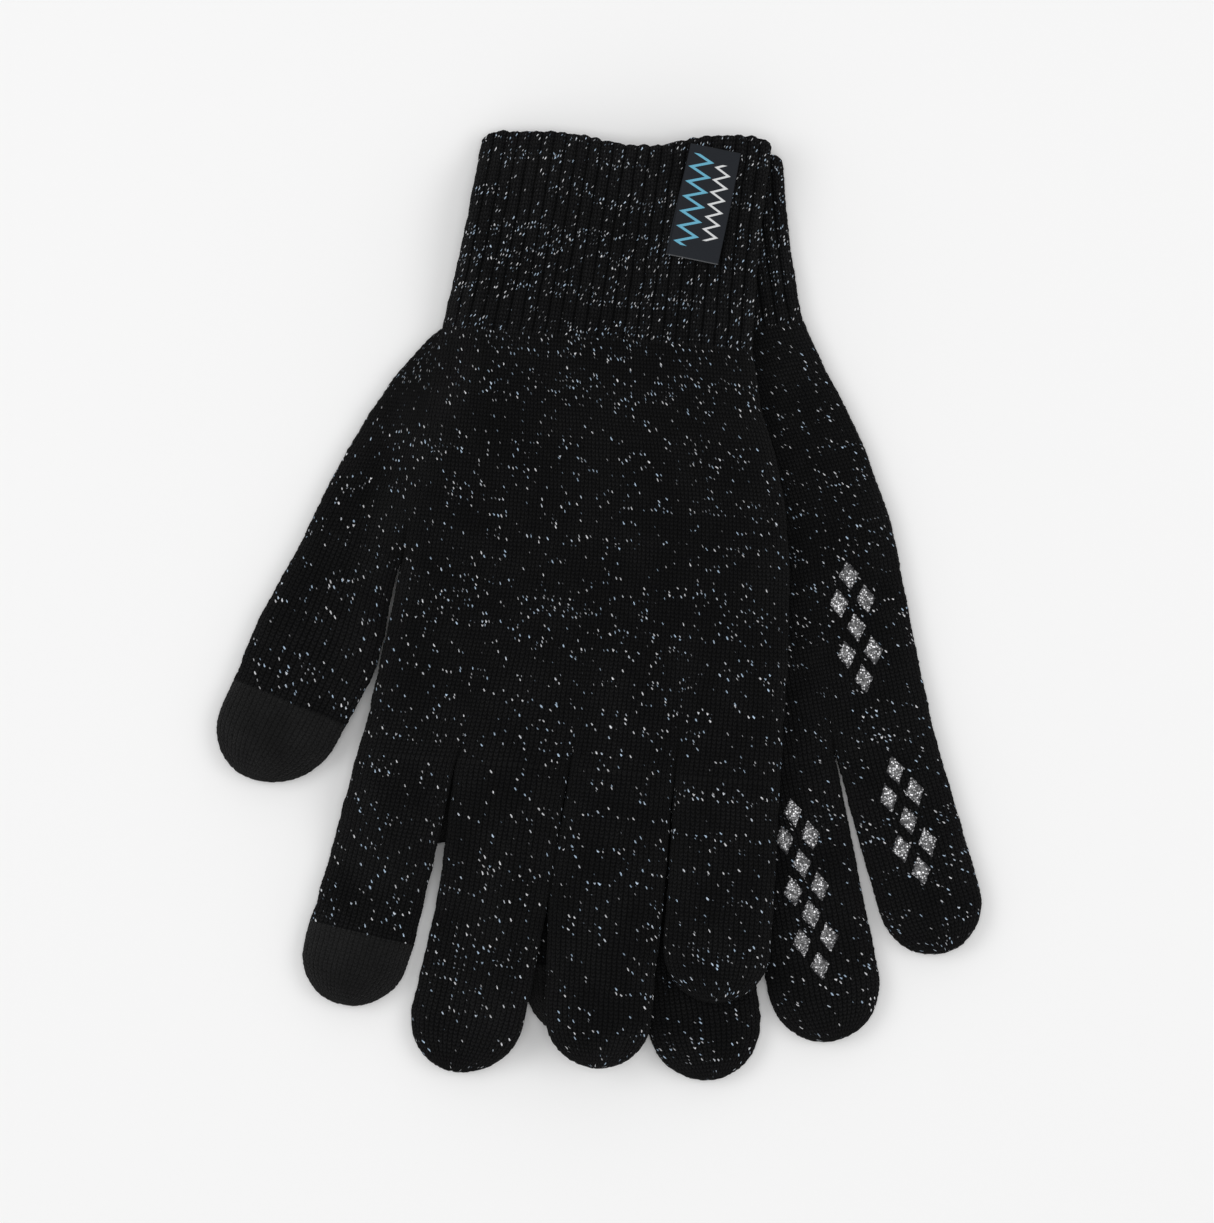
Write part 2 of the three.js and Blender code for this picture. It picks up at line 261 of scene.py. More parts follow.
def round_lift(t):
    """A finger's cross-section: the share of its half thickness at t, from -1 to 1 across it."""
    return np.sqrt(np.clip(1 - np.abs(t) ** 3, 0, 1))


def edge_lift(distance):
    """The hand's cross-section: the share of its half thickness at a distance in from its edge."""
    return np.sqrt(np.clip(1 - (1 - np.clip(distance, 0, 45) / 45) ** 8, 0, 1))


def even_steps(count, wide, thick):
    """t from -1 to 1 in steps of equal length along a finger's cross-section."""
    t = np.sin(np.linspace(-math.pi / 2, math.pi / 2, 2001))
    arc = np.concatenate([[0], np.cumsum(np.hypot(np.diff(t) * wide, np.diff(round_lift(t)) * thick))])
    return np.interp(np.linspace(0, arc[-1], count + 1), arc, t)


FINGER_T = even_steps(FINGER_COLUMNS, 12.2, THICK / 2)


# ---- Skins: grids of points that are welded where they meet ----
def waves(x, y, seed, lengths):
    """A smooth, seeded unevenness over plan points, about 1 high."""
    rng = np.random.default_rng(SEED + seed)
    total = 0
    for length in lengths:
        for _ in range(4):
            turn, phase = rng.uniform(0, 2 * math.pi, 2)
            total = total + np.sin((x * math.cos(turn) + y * math.sin(turn)) * 2 * math.pi / length + phase)
    return total / math.sqrt(4 * len(lengths))


class Skin:
    """Collects grids of plan points for one piece of a glove, and makes them one closed mesh."""

    def __init__(self, hand):
        self.hand = hand
        self.grids = []

    def grid(self, u, v, lift, wale, course, flip=False, ends=(False, False)):
        """Arrays of one shape: plan place, height as a share of half the thickness, and place in the knit, in
        stitches. ends says whether the first and the last row are rings to be closed."""
        self.grids.append((*np.broadcast_arrays(u, v, lift, wale, course), flip, ends))

    def build(self, name, material):
        points, uvs, faces, offset = [], [], [], 0
        for u, v, lift, wale, course, flip, ends in self.grids:
            x, y = to_world(self.hand, u, v)
            z = underside(self.hand, x, y) + THICK / 2 * (1 + lift)
            z = z + LOFT_UNEVEN * waves(x, y, 3, (11, 7)) * np.clip(lift * 3, 0, 1)
            stray_x = UNEVEN * waves(x, y, 1, (9, 1.9, 1.1))
            stray_y = UNEVEN * waves(x, y, 2, (9, 1.9, 1.1))
            points.append(np.stack([x + stray_x, y + stray_y, np.maximum(z, 0)], -1).reshape(-1, 3))
            uvs.append(np.stack([wale, course], -1).reshape(-1, 2))
            index = np.arange(u.size).reshape(u.shape) + offset
            offset += u.size
            faces.append(quads(index, flip))
            if ends[0]:
                faces.append(cap(index[0], not flip))
            if ends[1]:
                faces.append(cap(index[-1], flip))
        return make_mesh(name, np.concatenate(points), np.concatenate(uvs), np.concatenate(faces), material)


def quads(index, flip=False):
    """The faces of a grid of points."""
    corners = [index[:-1, :-1], index[:-1, 1:], index[1:, 1:], index[1:, :-1]]
    return np.stack(corners[::-1] if flip else corners, -1).reshape(-1, 4)


def cap(ring, flip):
    """Faces across a closed ring of points, whose first and last points are the same place."""
    count = len(ring) - 1
    k = np.arange(count // 2 - 1)
    faces = np.stack([ring[k], ring[k + 1], ring[count - k - 2], ring[count - k - 1]], -1)
    return faces if flip else faces[:, ::-1]


def make_mesh(name, points, uvs, faces, material):
    """One mesh in metres, welded where its points meet."""
    mesh = bpy.data.meshes.new(name)
    mesh.vertices.add(len(points))
    mesh.vertices.foreach_set("co", (points * MM).astype(np.float32).ravel())
    mesh.loops.add(faces.size)
    mesh.loops.foreach_set("vertex_index", faces.astype(np.int32).ravel())
    mesh.polygons.add(len(faces))
    mesh.polygons.foreach_set("loop_start", np.arange(0, faces.size, 4, dtype=np.int32))
    layer = mesh.uv_layers.new(name="stitch")
    layer.data.foreach_set("uv", uvs[faces.ravel()].astype(np.float32).ravel())
    mesh.update(calc_edges=True)
    work = bmesh.new()
    work.from_mesh(mesh)
    bmesh.ops.remove_doubles(work, verts=work.verts, dist=WELD * MM)
    bmesh.ops.recalc_face_normals(work, faces=work.faces)
    work.to_mesh(mesh)
    work.free()
    mesh.polygons.foreach_set("use_smooth", np.ones(len(mesh.polygons), bool))
    mesh.materials.append(material)
    mesh.validate()
    piece = bpy.data.objects.new(name, mesh)
    bpy.context.scene.collection.objects.link(piece)
    return piece


def stitch_relief(rows, columns):
    """Every other column and every other row stand proud, which gives each stitch its bump."""
    wale = WALE_RELIEF * (np.arange(columns) % 2 - 0.5)
    course = COURSE_RELIEF * (np.arange(rows)[:, None] % 2 - 0.5)
    return (wale + course) / (THICK / 2)


# ---- Fingers ----
def finger_rings(hand, name, start, stop):
    """A finger's rings from start to stop along it, as a grid for a skin."""
    f = finger_of(hand, name)
    direction, square = axes(f["lean"])
    dome = f["half"][2] + 1
    dome_start = f["length"] - dome
    straight = np.linspace(0, dome_start, int(dome_start / ROW) + 1)
    in_dome = dome_start + dome * np.sin(np.linspace(0, math.pi / 2, 37))[1:-1]
    stops = np.concatenate([straight, in_dome, [f["length"] - TIP_END]])
    stops = np.concatenate([[start], stops[(stops > start + 0.1) & (stops < stop - 0.1)], [stop]])
    s = stops[:, None]
    share, wide, thick = domed(f, s)
    turned = smooth(s, 0, BLEND_SIDE)
    t = np.concatenate([FINGER_T, FINGER_T[-2::-1]])
    sign = np.where(np.arange(len(t)) <= FINGER_COLUMNS, 1.0, -1.0)
    relief = stitch_relief(len(stops), len(t)) * smooth(s, 0, 1.5) * (1 - share**4)
    if name in TOUCH_TIP:
        seam = f["length"] - TOUCH_TIP[name]
        relief = relief * (1 - 0.7 * smooth(s, seam - 2, seam))
    lift = sign * round_lift(t) * (1 + relief) * thick
    across = t * wide + bowed(f, s)
    u = f["at"][0] + s * direction[0] + across * lerp(f["root_side"][0], square[0], turned)
    v = f["at"][1] + s * direction[1] + across * lerp(f["root_side"][1], square[1], turned)
    return u, v, lift, np.arange(len(t)) / 2, s / COURSE


def add_finger(hand, name):
    """A finger's knit, and its touch tip if it has one, as (piece, the node that it stands for)."""
    f = finger_of(hand, name)
    shift = KNIT_START[hand]["fingers"] + NEXT_FINGER * ["thumb", *FOUR].index(name)
    end = f["length"] - TIP_END
    split = f["length"] - TOUCH_TIP[name] if name in TOUCH_TIP else end
    parts = [("knit", "stall", 0.0, split, knit)]
    if name in TOUCH_TIP:
        parts.append(("touch_knit", "touch_tip", split, end, touch))
    made = []
    for kind, node, start, stop, material in parts:
        skin = Skin(hand)
        u, v, lift, wale, course = finger_rings(hand, name, start, stop)
        skin.grid(u, v, lift, wale + shift, course + shift, flip=True, ends=(True, True))
        made.append((skin.build(f"{hand}_{name}_{kind}", material), f"{hand}_{name}_{node}"))
    return made


# ---- Hand ----
def gusset_edge():
    """The thumb gusset's outer edge, from the wrist to the thumb, as a function of a share of the way."""
    direction, square = axes(THUMB_LEAN)
    points = [np.array([-WRIST_HALF, 0.0])]
    for before, half in GUSSET:
        points.append(THUMB_ROOT - before * direction - (half + 0.4 * (before > 0)) * square)
    points = np.array(points)
    arc = np.concatenate([[0], np.cumsum(np.hypot(*np.diff(points, axis=0).T))])
    lines = [rounded(list(zip(arc, points[:, i]))) for i in (0, 1)]

    def at(r):
        near_end = smooth(r, 0, 0.05) * (1 - smooth(r, 0.95, 1))
        walked = r * arc[-1]
        return [lerp(np.interp(walked, arc, points[:, i]), lines[i](walked), near_end) for i in (0, 1)]

    return at


def palm_edges(hand, v):
    """The palm's two edges. The one on the thumb's side meets the thumb's root at the crotch."""
    roots = GLOVES[hand]["roots"]
    crotch = THUMB_ROOT[0] + GUSSET[-1][1] * math.cos(math.radians(THUMB_LEAN))
    to_crotch = np.where(v < CROTCH, smooth(v, 38, CROTCH), 1 - smooth(v, CROTCH, 70))
    at_root = smooth(v, 70, FINGER_ROOT)
    left = thumb_side(v) + (crotch - thumb_side(CROTCH)) * to_crotch
    left = left + (roots[0] - thumb_side(FINGER_ROOT)) * at_root
    little = GLOVES[hand]["little_edge"]
    return left, little(v) + (roots[-1] - little(FINGER_ROOT)) * at_root


def add_hand(hand):
    """The palm's and the thumb gusset's grids, above and below, closed at the wrist and the fingers' roots."""
    skin = Skin(hand)
    shift = KNIT_START[hand]["hand"]
    roots = GLOVES[hand]["roots"]
    outer = gusset_edge()
    below = np.linspace(0, CROTCH, int(CROTCH / ROW) + 1)
    above = np.linspace(CROTCH, FINGER_ROOT, int((FINGER_ROOT - CROTCH) / ROW) + 1)
    v = np.concatenate([below, above[1:]])[:, None]
    left, right = palm_edges(hand, v)
    end_u, end_v = outer(np.clip(v / CROTCH, 0, 1))
    gusset_width = np.where(v < CROTCH, np.hypot(end_u - left, end_v - v), 0)
    parting = smooth(v, CROTCH - 12, CROTCH)

    finger_share = (1 + FINGER_T[1:]) / 2
    rooted = np.concatenate([[roots[0]], *(lerp(a, b, finger_share) for a, b in zip(roots, roots[1:]))])
    rooted = (rooted - roots[0]) / (roots[-1] - roots[0])
    columns = len(rooted)
    share = lerp(np.linspace(0, 1, columns), rooted, smooth(v, 50, FINGER_ROOT))
    u = left + share * (right - left)
    lift = edge_lift(right - u) * lerp(edge_lift(u - left + gusset_width), edge_lift(u - left), parting)
    scalloped = np.concatenate([[0], np.tile(round_lift(FINGER_T[1:]), 4)])
    lift = lerp(lift, scalloped, smooth(v, 84, FINGER_ROOT) ** 1.3)
    relief = stitch_relief(*u.shape) * smooth(v, 0, 2) * (1 - smooth(v, 97, FINGER_ROOT))
    relief = relief * smooth(lift, 0.1, 0.5) * (np.arange(columns) > 0)
    for sign in (1, -1):
        wale = np.arange(columns) / 2 + shift + (0 if sign > 0 else LOWER_FACE)
        skin.grid(u, v, sign * (lift + relief), wale, v / COURSE + shift, flip=sign < 0)
    for row, flip in ((0, True), (-1, False)):
        both = np.stack([lift[row] + relief[row], -lift[row] - relief[row]])
        skin.grid(u[row], np.broadcast_to(v[row], u[row].shape), both, 0.0, 0.0, flip=flip)

    r = (below / CROTCH)[:, None]
    end_u, end_v = outer(r)
    q = lerp(np.linspace(0, 1, FINGER_COLUMNS + 1), np.concatenate([[0], finger_share]), smooth(r, 0.6, 1))
    start = left[: len(below)]
    gu, gv = lerp(start, end_u, q), lerp(below[:, None], end_v, q)
    gusset = lerp(edge_lift(np.hypot(end_u - gu, end_v - gv)), round_lift(q * 2 - 1), parting[: len(below)])
    ridges = stitch_relief(*q.shape) * smooth(r, 0.05, 0.2) * (1 - smooth(r, 0.96, 1)) * (q > 0) * (q < 1)
    for sign in (1, -1):
        wale = shift - np.arange(FINGER_COLUMNS + 1) / 2 + (0 if sign > 0 else LOWER_FACE)
        skin.grid(gu, gv, sign * (gusset + ridges), wale, gv / COURSE + shift, flip=sign > 0)
    skin.grid(gu[-1], gv[-1], np.stack([gusset[-1], -gusset[-1]]), 0.0, 0.0, flip=True)
    return skin.build(f"{hand}_hand_knit", knit)


# ---- Cuff ----
def add_cuff(hand):
    """The ribbed tube: its outside from the wrist to the rim, over the rim's rolled edge, and back inside."""
    shift = KNIT_START[hand]["cuff"]
    cuff = GLOVES[hand]["cuff"]
    face = 4 * FINGER_COLUMNS
    even = np.linspace(-1, 1, face + 1)
    t = np.concatenate([even, even[-2::-1]])
    sign = np.where(np.arange(len(t)) <= face, 1.0, -1.0)
    column = np.arange(len(t))
    ridge = np.abs(np.sin(np.pi * column * RIBS / face))

    down = np.linspace(0, 1, int(cuff["length"] / ROW) + 1)
    roll = np.linspace(0, math.pi, 9)[1:]
    up = np.linspace(1, 0.03, 60)[1:]
    share = np.concatenate([down, np.ones(len(roll)), up])[:, None]
    inset = np.concatenate([0 * down, WALL / 2 * (1 - np.cos(roll)), WALL + 0 * up])[:, None]
    beyond = np.concatenate([0 * down, WALL / 2 * np.sin(roll), 0 * up])[:, None]

    low, high = cuff_span(hand, np.array([cuff["length"]]))
    corner = CORNER * np.clip((np.abs(t) - 0.86) / 0.14, 0, 1) ** 2
    curl = SCALLOP * (0.6 - ridge + 0.6 * waves(column % (2 * face) * 0.5, 0 * column, 4, (9, 5)))
    far = rim(hand, (low + high) / 2 + t * (high - low) / 2) + WALL / 2 + corner
    v = share * (far + curl * smooth(share, 0.1, 0.6)) - beyond
    low, high = cuff_span(hand, -v)
    half_span = (high - low) / 2
    u = (low + high) / 2 + t * (half_span - inset)
    depth = edge_lift((1 - np.abs(t)) * half_span)
    near_rim = smooth(share, 0.93, 1.0)
    ribbed = RIB_RELIEF * (ridge**0.55 - 0.8) * smooth(share, 0.0, 0.12) * (1 - 0.5 * near_rim)
    knobs = COURSE_RELIEF * (np.arange(len(share))[:, None] % 2 - 0.5)
    thickness = THICK / 2 - inset + (ribbed + knobs) * (1 - inset / WALL) * smooth(depth, 0.1, 0.7)
    inner = np.arange(len(share))[:, None] >= len(down) + len(roll)
    closing = np.where(inner, np.sqrt(smooth(share, 0.03, 0.3)), 1.0)
    lift = sign * depth * thickness * closing / (THICK / 2)
    steps = np.hypot(np.diff(v[:, face // 2]), np.diff(inset[:, 0]))
    walked = np.concatenate([[0], np.cumsum(steps)])[:, None]
    skin = Skin(hand)
    skin.grid(u, v, lift, column / 2 + shift, walked / COURSE + shift, ends=(True, False))
    return skin.build(f"{hand}_cuff_knit", rib_knit)


# ---- Materials ----
class Nodes:
    """A small helper that makes and joins shader nodes."""

    def __init__(self, name):
        self.material = bpy.data.materials.new(name)
        self.material.use_nodes = True
        self.tree = self.material.node_tree
        self.tree.nodes.clear()
        self.output = self.tree.nodes.new("ShaderNodeOutputMaterial")
        self.shader = self.tree.nodes.new("ShaderNodeBsdfPrincipled")
        self.tree.links.new(self.shader.outputs[0], self.output.inputs[0])

    def put(self, socket, value):
        if isinstance(value, bpy.types.NodeSocket):
            self.tree.links.new(value, socket)
        else:
            socket.default_value = value

    def math(self, operation, a, b=0.0, c=0.0):
        node = self.tree.nodes.new("ShaderNodeMath")
        node.operation = operation
        for socket, value in zip(node.inputs, (a, b, c)):
            self.put(socket, value)
        return node.outputs[0]

    def ramp(self, value, low, high, to_low=0.0, to_high=1.0):
        node = self.tree.nodes.new("ShaderNodeMapRange")
        node.interpolation_type = "SMOOTHSTEP"
        for name, number in [("From Min", low), ("From Max", high), ("To Min", to_low), ("To Max", to_high)]:
            self.put(node.inputs[name], number)
        self.put(node.inputs["Value"], value)
        return node.outputs["Result"]

    def stitches(self):
        node = self.tree.nodes.new("ShaderNodeUVMap")
        node.uv_map = "stitch"
        return node.outputs[0]

    def place(self):
        return self.tree.nodes.new("ShaderNodeTexCoord").outputs["Object"]

    def split(self, vector):
        node = self.tree.nodes.new("ShaderNodeSeparateXYZ")
        self.put(node.inputs[0], vector)
        return node.outputs

    def join(self, x, y, z=0.0):
        node = self.tree.nodes.new("ShaderNodeCombineXYZ")
        for socket, value in zip(node.inputs, (x, y, z)):
            self.put(socket, value)
        return node.outputs[0]

    def noise(self, vector, scale, detail=2.0, roughness=0.5):
        node = self.tree.nodes.new("ShaderNodeTexNoise")
        self.put(node.inputs["Vector"], vector)
        node.inputs["Scale"].default_value = scale
        node.inputs["Detail"].default_value = detail
        node.inputs["Roughness"].default_value = roughness
        return node.outputs[0]

    def random(self, vector):
        node = self.tree.nodes.new("ShaderNodeTexWhiteNoise")
        node.noise_dimensions = "3D"
        self.put(node.inputs["Vector"], vector)
        return node.outputs

    def mix(self, factor, a, b):
        node = self.tree.nodes.new("ShaderNodeMix")
        node.data_type = "RGBA"
        self.put(node.inputs["Factor"], factor)
        for socket, value in zip([s for s in node.inputs if s.type == "RGBA"], (a, b)):
            self.put(socket, value)
        return next(s for s in node.outputs if s.type == "RGBA")

    def bump(self, height, distance, strength):
        node = self.tree.nodes.new("ShaderNodeBump")
        node.inputs["Distance"].default_value = distance
        node.inputs["Strength"].default_value = strength
        self.put(node.inputs["Height"], height)
        return node.outputs[0]


def knitted(name, dark, light, specks, ribbed=False, density=1.0, fuzz=1.0, sheen=0.02):
    """Plain knitting: V-shaped stitches in upright wales, fuzzy yarn, and metallic flecks plated on some
    stitches, their brightness painted glint. The knit is painted darker where it lies low, as shade between the
    yarns, and ribbed knitting has painted shade in a valley after every fourth wale."""
    n = Nodes(name)
    wale, course, _ = n.split(n.stitches())
    across = n.math("ABSOLUTE", n.math("SUBTRACT", n.math("FRACT", wale), 0.5))
    slant = n.math("ADD", course, n.math("MULTIPLY", across, 1.1))
    leg = n.math("ABSOLUTE", n.math("SUBTRACT", n.math("FRACT", slant), 0.5))
    yarn = n.math("MULTIPLY", n.ramp(across, 0.28, 0.5, 1.0, 0.0), n.ramp(leg, 0.08, 0.5, 1.0, 0.25))
    place = n.place()
    fibres = n.noise(place, 5200.0, 3.0, 0.7)
    lumps = n.noise(place, 700.0, 2.0, 0.6)
    height = n.math("MULTIPLY_ADD", fibres, 0.55 * fuzz, yarn)
    height = n.math("MULTIPLY_ADD", lumps, 0.35 * fuzz, height)
    # Painted shade: the knit is darker where its relief lies low, between the yarns; the fibres and the patches
    # below vary it at random.
    shade_and_tone = n.math("MULTIPLY", n.ramp(height, 0.25, 1.6), n.ramp(fibres, 0.3, 0.75, 0.25, 1.0))
    shade_and_tone = n.math("MULTIPLY", shade_and_tone, n.ramp(n.noise(place, 90.0, 3.0), 0.3, 0.7, 0.7, 1.15))
    rib_shade = 1.0
    # Painted shade: the valley after every fourth wale of a rib is darkened.
    if ribbed:
        across_rib = n.math("FRACT", n.math("MULTIPLY", wale, 0.25))
        from_ridge = n.math("ABSOLUTE", n.math("SUBTRACT", across_rib, 0.5))
        rib_shade = n.ramp(from_ridge, 0.3, 0.48, 1.0, 0.1)
        shade_and_tone = n.math("MULTIPLY", shade_and_tone, rib_shade)
    colour = n.mix(shade_and_tone, dark, light)
    roughness, metal = 0.95, 0.0
    if specks:
        cell_u, cell_v = n.math("FLOOR", wale), n.math("FLOOR", slant)
        rand = n.random(n.join(cell_u, cell_v, 3.7))
        jitter = n.split(rand[1])
        band = n.noise(n.join(0.37, n.math("MULTIPLY", cell_v, 0.41), 0.0), 1.0, 1.0)
        patch_u, patch_v = n.math("MULTIPLY", cell_u, 0.09), n.math("MULTIPLY", cell_v, 0.2)
        patch = n.noise(n.join(patch_u, patch_v, 5.0), 1.0, 2.0)
        knot_u, knot_v = n.math("MULTIPLY", cell_u, 0.37), n.math("MULTIPLY", cell_v, 0.61)
        knot = n.noise(n.join(knot_u, knot_v, 8.0), 1.0, 1.0)
        chance = n.math("MULTIPLY", n.ramp(band, 0.36, 0.68, 0.05, 0.30), n.ramp(patch, 0.3, 0.68, 0.35, 1.6))
        chance = n.math("MULTIPLY", chance, n.ramp(knot, 0.35, 0.65, 0.3 * density, 1.55 * density))
        if ribbed:
            # Fewer flecks in the painted shade of the rib's valleys.
            chance = n.math("MULTIPLY", chance, n.ramp(rib_shade, 0.2, 0.9, 0.1, 1.5))
        here = n.math("LESS_THAN", rand[0], chance)
        dx = n.math("SUBTRACT", n.math("FRACT", wale), n.math("MULTIPLY_ADD", jitter[0], 0.64, 0.18))
        dy = n.math("SUBTRACT", n.math("FRACT", slant), n.math("MULTIPLY_ADD", jitter[1], 0.64, 0.18))
        away = n.math("SQRT", n.math("ADD", n.math("MULTIPLY", dx, dx), n.math("MULTIPLY", dy, dy)))
        # Painted glint: each fleck of silver yarn gets a random brightness, and a brighter fleck is drawn larger.
        glint = n.random(n.join(cell_v, cell_u, 9.1))
        bright = n.math("POWER", glint[0], 1.1)
        radius = n.math("MULTIPLY_ADD", bright, 0.17, 0.15)
        mask = n.math("MULTIPLY", here, n.ramp(n.math("DIVIDE", away, radius), 0.6, 1.05, 1.0, 0.0))
        hue = n.mix(n.ramp(jitter[2], 0.25, 0.8), (0.96, 0.97, 1.0, 1), (0.62, 0.8, 1.0, 1))
        # A fleck's base colour runs from near black to silvery white with that painted glint.
        tint = n.mix(n.math("MULTIPLY_ADD", bright, 0.9, 0.1), (0.02, 0.024, 0.032, 1), hue)
        colour = n.mix(mask, colour, tint)
        roughness = n.math("MULTIPLY_ADD", mask, -0.6, 0.95)
        metal = n.math("MULTIPLY", mask, 0.2)
        height = n.math("MULTIPLY_ADD", mask, 0.3, height)
    n.put(n.shader.inputs["Base Color"], colour)
    n.put(n.shader.inputs["Roughness"], roughness)
    n.put(n.shader.inputs["Metallic"], metal)
    n.shader.inputs["Specular IOR Level"].default_value = 0.035
    n.shader.inputs["Sheen Weight"].default_value = sheen
    n.shader.inputs["Sheen Roughness"].default_value = 0.5
    n.put(n.shader.inputs["Normal"], n.bump(height, 0.00045, 0.9))
    return n.material


def glitter():
    """A clear print full of silver glitter: grains of many tilts, each painted a random brightness as its glint,
    with dark knit between them.
    """
    n = Nodes("silver_grip_print")
    place = n.place()
    node = n.tree.nodes.new("ShaderNodeTexVoronoi")
    node.inputs["Scale"].default_value = 2500.0
    n.put(node.inputs["Vector"], place)
    cell = n.split(node.outputs["Color"])
    # Painted glint: each grain's brightness is random, from near black to white.
    grain = n.ramp(cell[0], 0.42, 0.8, 0.02, 1.0)
    grain = n.math("MULTIPLY", grain, n.ramp(node.outputs["Distance"], 0.3, 0.6, 1.0, 0.1))
    wide = n.ramp(n.noise(place, 1500.0, 1.0), 0.35, 0.6, 0.7, 1.0)
    grain = n.math("MULTIPLY", grain, wide)
    n.put(n.shader.inputs["Base Color"], n.mix(grain, (0.012, 0.012, 0.014, 1), (0.9, 0.9, 0.92, 1)))
    n.put(n.shader.inputs["Metallic"], n.math("MULTIPLY", grain, 0.2))
    n.put(n.shader.inputs["Roughness"], n.ramp(cell[1], 0.0, 1.0, 0.2, 0.5))
    n.put(n.shader.inputs["Normal"], n.bump(cell[2], 0.0002, 0.8))
    return n.material


def woven():
    """The label's satin weave, with one zigzag line of pale blue yarn and one of white woven in."""
    n = Nodes("woven_label")
    across, along, _ = n.split(n.stitches())
    ribs = n.math("ABSOLUTE", n.math("SINE", n.math("MULTIPLY", along, math.pi * 5)))
    warp = n.math("ABSOLUTE", n.math("SINE", n.math("MULTIPLY", across, math.pi * 6)))
    weave = n.math("MULTIPLY", n.math("MULTIPLY_ADD", ribs, 0.6, 0.4), n.math("MULTIPLY_ADD", warp, 0.4, 0.6))
    # Painted shade: the threads are lighter on their crowns and darker between them, and the coloured lines below
    # follow this too.
    colour = n.mix(weave, (0.005, 0.006, 0.008, 1), (0.022, 0.025, 0.031, 1))
    # Each line's middle and half width across the tape, its pitch, its two ends along it, and its colour.
    for centre, half, pitch, low, high, yarn in [
        (3.4, 2.1, 3.5, 2.0, 23.5, (0.17, 0.5, 0.68, 1)),
        (8.5, 1.5, 2.9, 3.5, 21.5, (0.82, 0.83, 0.84, 1)),
    ]:
        off = n.math("DIVIDE", n.math("SUBTRACT", across, centre), half)
        swing = n.math("ABSOLUTE", n.math("SUBTRACT", n.math("FRACT", n.math("DIVIDE", along, pitch)), 0.5))
        away = n.math("ABSOLUTE", n.math("SUBTRACT", off, n.math("MULTIPLY_ADD", swing, 4.0, -1.0)))
        line = n.math("MULTIPLY", n.ramp(away, 0.3, 0.4, 1.0, 0.0), n.ramp(weave, 0.4, 0.7, 0.55, 1.0))
        window = n.math("MULTIPLY", n.math("GREATER_THAN", along, low), n.math("LESS_THAN", along, high))
        colour = n.mix(n.math("MULTIPLY", line, window), colour, yarn)
    # A pale grey line along the fold.
    from_fold = n.math("ABSOLUTE", n.math("SUBTRACT", along, LABEL["length"] - 0.1))
    colour = n.mix(n.ramp(from_fold, 0.1, 0.3, 0.3, 0.0), colour, (0.42, 0.43, 0.44, 1))
    n.put(n.shader.inputs["Base Color"], colour)
    n.shader.inputs["Roughness"].default_value = 0.62
    n.shader.inputs["Specular IOR Level"].default_value = 0.12
    n.shader.inputs["Sheen Weight"].default_value = 0.03
    n.put(n.shader.inputs["Normal"], n.bump(weave, 0.00012, 0.7))
    return n.material


def plain(name, colour, roughness):
    n = Nodes(name)
    n.shader.inputs["Base Color"].default_value = colour
    n.shader.inputs["Roughness"].default_value = roughness
    return n.material


# ---- Prints and label ----
def finger_height(hand, name, u, v):
    """The height of a finger's upper surface over plan points, in millimetres."""
    f = finger_of(hand, name)
    direction, square = axes(f["lean"])
    s = (u - f["at"][0]) * direction[0] + (v - f["at"][1]) * direction[1]
    side = (u - f["at"][0]) * square[0] + (v - f["at"][1]) * square[1]
    _, wide, thick = domed(f, s)
    x, y = to_world(hand, u, v)
    return underside(hand, x, y) + THICK / 2 * (1 + round_lift(np.clip(side / wide, -1, 1)) * thick)


def hand_height(hand, u, v):
    """The height of the hand's upper surface over plan points."""
    x, y = to_world(hand, u, v)
    left, right = palm_edges(hand, v)
    depth = edge_lift(right - u) * edge_lift(u - left)
    return underside(hand, x, y) + THICK / 2 * (1 + depth)


def add_grips(name, height, u, v, lean, rows):
    """A column of printed diamonds, in rows of one and two by turns, each a low pillow on the knit."""
    rng = np.random.default_rng(SEED + rows + int(u))
    direction, square = axes(lean)
    points, faces, uvs, offset = [], [], [], 0
    count = GRIP_POINTS
    a, b = np.meshgrid(np.linspace(-1, 1, count), np.linspace(-1, 1, count), indexing="ij")
    for row in range(rows):
        for side in ((-GRIP_SPREAD, GRIP_SPREAD) if row % 2 else (0.0,)):
            wide = (a + b) / 2 * GRIP["width"] / 2 * rng.uniform(0.97, 1.05)
            long = (a - b) / 2 * GRIP["length"] / 2 * rng.uniform(0.97, 1.04)
            rim_share = np.maximum(np.abs(a), np.abs(b))
            wobble = 1 + 0.03 * np.sin(7 * np.arctan2(b, a) + rng.uniform(0, 6))
            cu = u + row * GRIP_PITCH * direction[0] + side * square[0]
            cv = v + row * GRIP_PITCH * direction[1] + side * square[1]
            pu = cu + long * wobble * direction[0] + wide * wobble * square[0]
            pv = cv + long * wobble * direction[1] + wide * wobble * square[1]
            x, y = to_world("right", pu, pv)
            surface = height(pu, pv)
            crown = np.sqrt(np.clip(1 - rim_share**6, 0, 1))
            grain = rng.uniform(-0.03, 0.03, a.shape) * (rim_share < 0.99)
            z = surface + GRIP["height"] * crown + GRIP["rim"] + grain
            top = np.stack([x, y, z], -1).reshape(-1, 3)
            low = np.stack([x, y, surface - GRIP["foot"]], -1).reshape(-1, 3)
            points += [top, low]
            uvs += [np.stack([a, b], -1).reshape(-1, 2)] * 2
            index = np.arange(count * count).reshape(count, count) + offset
            border = np.concatenate([index[:, 0], index[-1, 1:], index[-2::-1, -1], index[0, -2::-1]])
            wall = quads(np.stack([border, border + count * count]))
            faces += [quads(index), quads(index + count * count, flip=True), wall]
            offset += 2 * count * count
    return make_mesh(name, np.concatenate(points), np.concatenate(uvs), np.concatenate(faces), grip)


